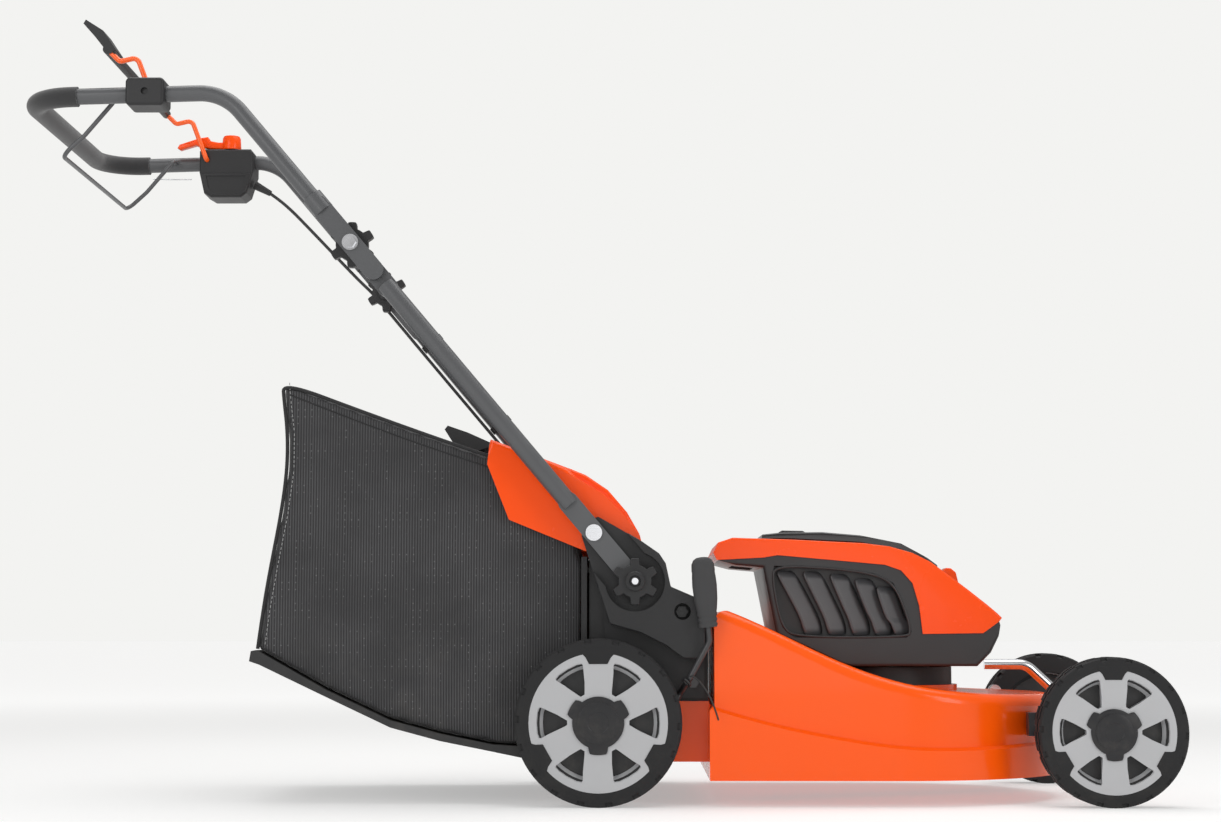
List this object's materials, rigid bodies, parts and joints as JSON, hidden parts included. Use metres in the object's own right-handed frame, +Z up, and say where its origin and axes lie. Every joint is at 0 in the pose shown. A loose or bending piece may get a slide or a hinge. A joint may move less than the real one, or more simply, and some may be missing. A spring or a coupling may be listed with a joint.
{
  "type": "walk-behind lawn mower",
  "caption": "Battery walk-behind rotary lawn mower: steel deck, motor hood, spoked wheels, folding tube handle with bails, and a rear fabric grass collector.",
  "frame": {"origin": "on the ground, under the middle of the machine's bounding box", "axes": "+X forward, +Y to the machine's left, +Z up"},
  "size_m": [1.422, 0.474, 0.972],
  "materials": {
    "orange_steel": "high-gloss powder coat",
    "orange_plastic": "glossy moulded",
    "orange_wire": "dipped wire",
    "black_plastic": "fine moulded grain",
    "grey_plastic": "fine moulded grain",
    "gloss_black": "polished",
    "grey_rubber": "textured grip",
    "grey_tube": "satin powder coat",
    "foam": "closed-cell foam",
    "tyre": "moulded rubber",
    "rim_silver": "satin silver",
    "steel": "zinc plated",
    "zinc_steel": "bright plated",
    "dark_steel": "black coated",
    "core_steel": "laminated core",
    "aluminium": "finned",
    "bag_fabric": "ribbed woven mesh",
    "cable_rubber": "smooth sheath"
  },
  "bodies": {
    "deck": {"deck_shell": "orange_steel", "discharge_chute": "black_plastic", "handle_bracket_right": "grey_plastic", "handle_bracket_left": "grey_plastic", "bracket_bolts": "dark_steel", "hinge_rods": "steel", "hood_base": "grey_plastic", "hood_cover": "orange_plastic", "battery": "black_plastic", "controller": "aluminium", "motor_base": "grey_plastic", "motor_stator": "core_steel", "front_lift_handle": "zinc_steel", "front_axle_brackets": "dark_steel"},
    "cutter": {"motor_rotor": "core_steel", "blade_hub": "steel", "blade": "dark_steel"},
    "lid": {"battery_lid": "gloss_black"},
    "flap": {"rear_flap": "orange_plastic"},
    "collector": {"collector_bag": "bag_fabric", "collector_frame": "black_plastic", "collector_handle": "black_plastic"},
    "rear_axle": {"rear_crank": "dark_steel", "rear_axle_tubes": "dark_steel", "drive_gearbox": "black_plastic", "height_lever": "dark_steel", "height_lever_grip": "grey_rubber"},
    "front_axle": {"front_axle": "steel"},
    "link": {"height_link": "steel"},
    "wheel_rear_right": {"tyre_rear_right": "tyre", "rim_rear_right": "rim_silver", "half_shaft_right": "steel"},
    "wheel_rear_left": {"tyre_rear_left": "tyre", "rim_rear_left": "rim_silver", "half_shaft_left": "steel"},
    "wheel_front_right": {"tyre_front_right": "tyre", "rim_front_right": "rim_silver"},
    "wheel_front_left": {"tyre_front_left": "tyre", "rim_front_left": "rim_silver"},
    "lower_handle": {"lower_tubes": "grey_tube", "tilt_bolts": "steel", "fold_bolts": "steel", "cable_clips": "black_plastic", "control_cable_lower": "cable_rubber"},
    "upper_handle": {"upper_tube": "grey_tube", "fold_forks": "grey_tube", "foam_grip": "foam", "bail_clamp": "grey_plastic", "control_box": "grey_plastic", "control_cable_upper": "cable_rubber", "strain_relief": "cable_rubber"},
    "tilt_knob_right": {"tilt_knob_right": "grey_plastic"},
    "tilt_knob_left": {"tilt_knob_left": "grey_plastic"},
    "fold_knob_right": {"fold_knob_right": "grey_plastic"},
    "fold_knob_left": {"fold_knob_left": "grey_plastic"},
    "drive_bail": {"drive_bail_arms": "orange_wire", "drive_bail_bar": "grey_plastic"},
    "stop_bail": {"stop_bail": "grey_tube"},
    "speed_lever": {"speed_lever": "orange_plastic"},
    "start_button": {"start_button": "orange_plastic"}
  },
  "joints": [
    {"name": "blade_spin", "type": "hinge", "parent": "deck", "child": "cutter", "pos_m": [0.374, 0, 0.046], "axis": [0, 0, 1], "continuous": true},
    {"name": "lid_open", "type": "hinge", "parent": "deck", "child": "lid", "pos_m": [0.452, 0, 0.286], "axis": [0, 1, 0], "range_deg": [0, 70]},
    {"name": "flap_open", "type": "hinge", "parent": "deck", "child": "flap", "pos_m": [0.056, 0, 0.312], "axis": [0, 1, 0], "range_deg": [0, 50], "stiffness_Nm_per_rad": 0.6, "springref_deg": -22.92},
    {"name": "collector_lift_off", "type": "slide", "parent": "deck", "child": "collector", "axis": [-0.9444, 0, 0.3288], "range_m": [0, 0.4]},
    {"name": "height_adjust", "type": "hinge", "parent": "deck", "child": "rear_axle", "pos_m": [0.096, 0, 0.11], "axis": [0, 1, 0], "range_deg": [-10, 5.5]},
    {"name": "front_axle_turn", "type": "hinge", "parent": "deck", "child": "front_axle", "pos_m": [0.548, 0, 0.097], "axis": [0, 1, 0], "range_deg": [-6.39, 11.62]},
    {"name": "link_pin", "type": "hinge", "parent": "rear_axle", "child": "link", "pos_m": [0.096, 0.189, 0.075], "axis": [0, 1, 0], "range_deg": [-5.5, 10]},
    {"name": "wheel_spin_rear_right", "type": "hinge", "parent": "rear_axle", "child": "wheel_rear_right", "pos_m": [0.01, 0, 0.1], "axis": [0, 1, 0], "continuous": true},
    {"name": "wheel_spin_rear_left", "type": "hinge", "parent": "rear_axle", "child": "wheel_rear_left", "pos_m": [0.01, 0, 0.1], "axis": [0, 1, 0], "continuous": true},
    {"name": "wheel_spin_front_right", "type": "hinge", "parent": "front_axle", "child": "wheel_front_right", "pos_m": [0.622, 0, 0.089], "axis": [0, 1, 0], "continuous": true},
    {"name": "wheel_spin_front_left", "type": "hinge", "parent": "front_axle", "child": "wheel_front_left", "pos_m": [0.622, 0, 0.089], "axis": [0, 1, 0], "continuous": true},
    {"name": "handle_tilt", "type": "hinge", "parent": "deck", "child": "lower_handle", "pos_m": [0.0043, 0, 0.327], "axis": [0, 1, 0], "range_deg": [-6, 6]},
    {"name": "handle_fold", "type": "hinge", "parent": "lower_handle", "child": "upper_handle", "pos_m": [-0.294, 0, 0.682], "axis": [0, 1, 0], "range_deg": [0, 150]},
    {"name": "tilt_knob_right_turn", "type": "hinge", "parent": "lower_handle", "child": "tilt_knob_right", "pos_m": [0.054, -0.22, 0.268], "axis": [0, 1, 0], "range_deg": [0, 360]},
    {"name": "tilt_knob_left_turn", "type": "hinge", "parent": "lower_handle", "child": "tilt_knob_left", "pos_m": [0.054, 0.22, 0.268], "axis": [0, 1, 0], "range_deg": [0, 360]},
    {"name": "fold_knob_right_turn", "type": "hinge", "parent": "lower_handle", "child": "fold_knob_right", "pos_m": [-0.294, -0.19, 0.682], "axis": [0, 1, 0], "range_deg": [0, 360]},
    {"name": "fold_knob_left_turn", "type": "hinge", "parent": "lower_handle", "child": "fold_knob_left", "pos_m": [-0.294, 0.19, 0.682], "axis": [0, 1, 0], "range_deg": [0, 360]},
    {"name": "drive_bail_squeeze", "type": "hinge", "parent": "upper_handle", "child": "drive_bail", "pos_m": [-0.548, 0, 0.869], "axis": [0, -1, 0], "range_deg": [0, 36], "stiffness_Nm_per_rad": 0.8, "springref_deg": -22.92},
    {"name": "stop_bail_squeeze", "type": "hinge", "parent": "upper_handle", "child": "stop_bail", "pos_m": [-0.595, 0, 0.8673], "axis": [0, 1, 0], "range_deg": [0, 33], "stiffness_Nm_per_rad": 0.4, "springref_deg": -17.19},
    {"name": "speed_lever_turn", "type": "hinge", "parent": "upper_handle", "child": "speed_lever", "pos_m": [-0.516, 0.194, 0.885], "axis": [0, 0, -1], "range_deg": [0, 45]},
    {"name": "start_press", "type": "slide", "parent": "upper_handle", "child": "start_button", "axis": [0, 0, -1], "range_m": [0, 0.003], "stiffness_N_per_m": 300, "springref_m": -0.001}
  ],
  "couplings": [
    {"joint": "front_axle_turn", "follows": "height_adjust", "ratio": -1.162},
    {"joint": "link_pin", "follows": "height_adjust", "ratio": -1}
  ]
}
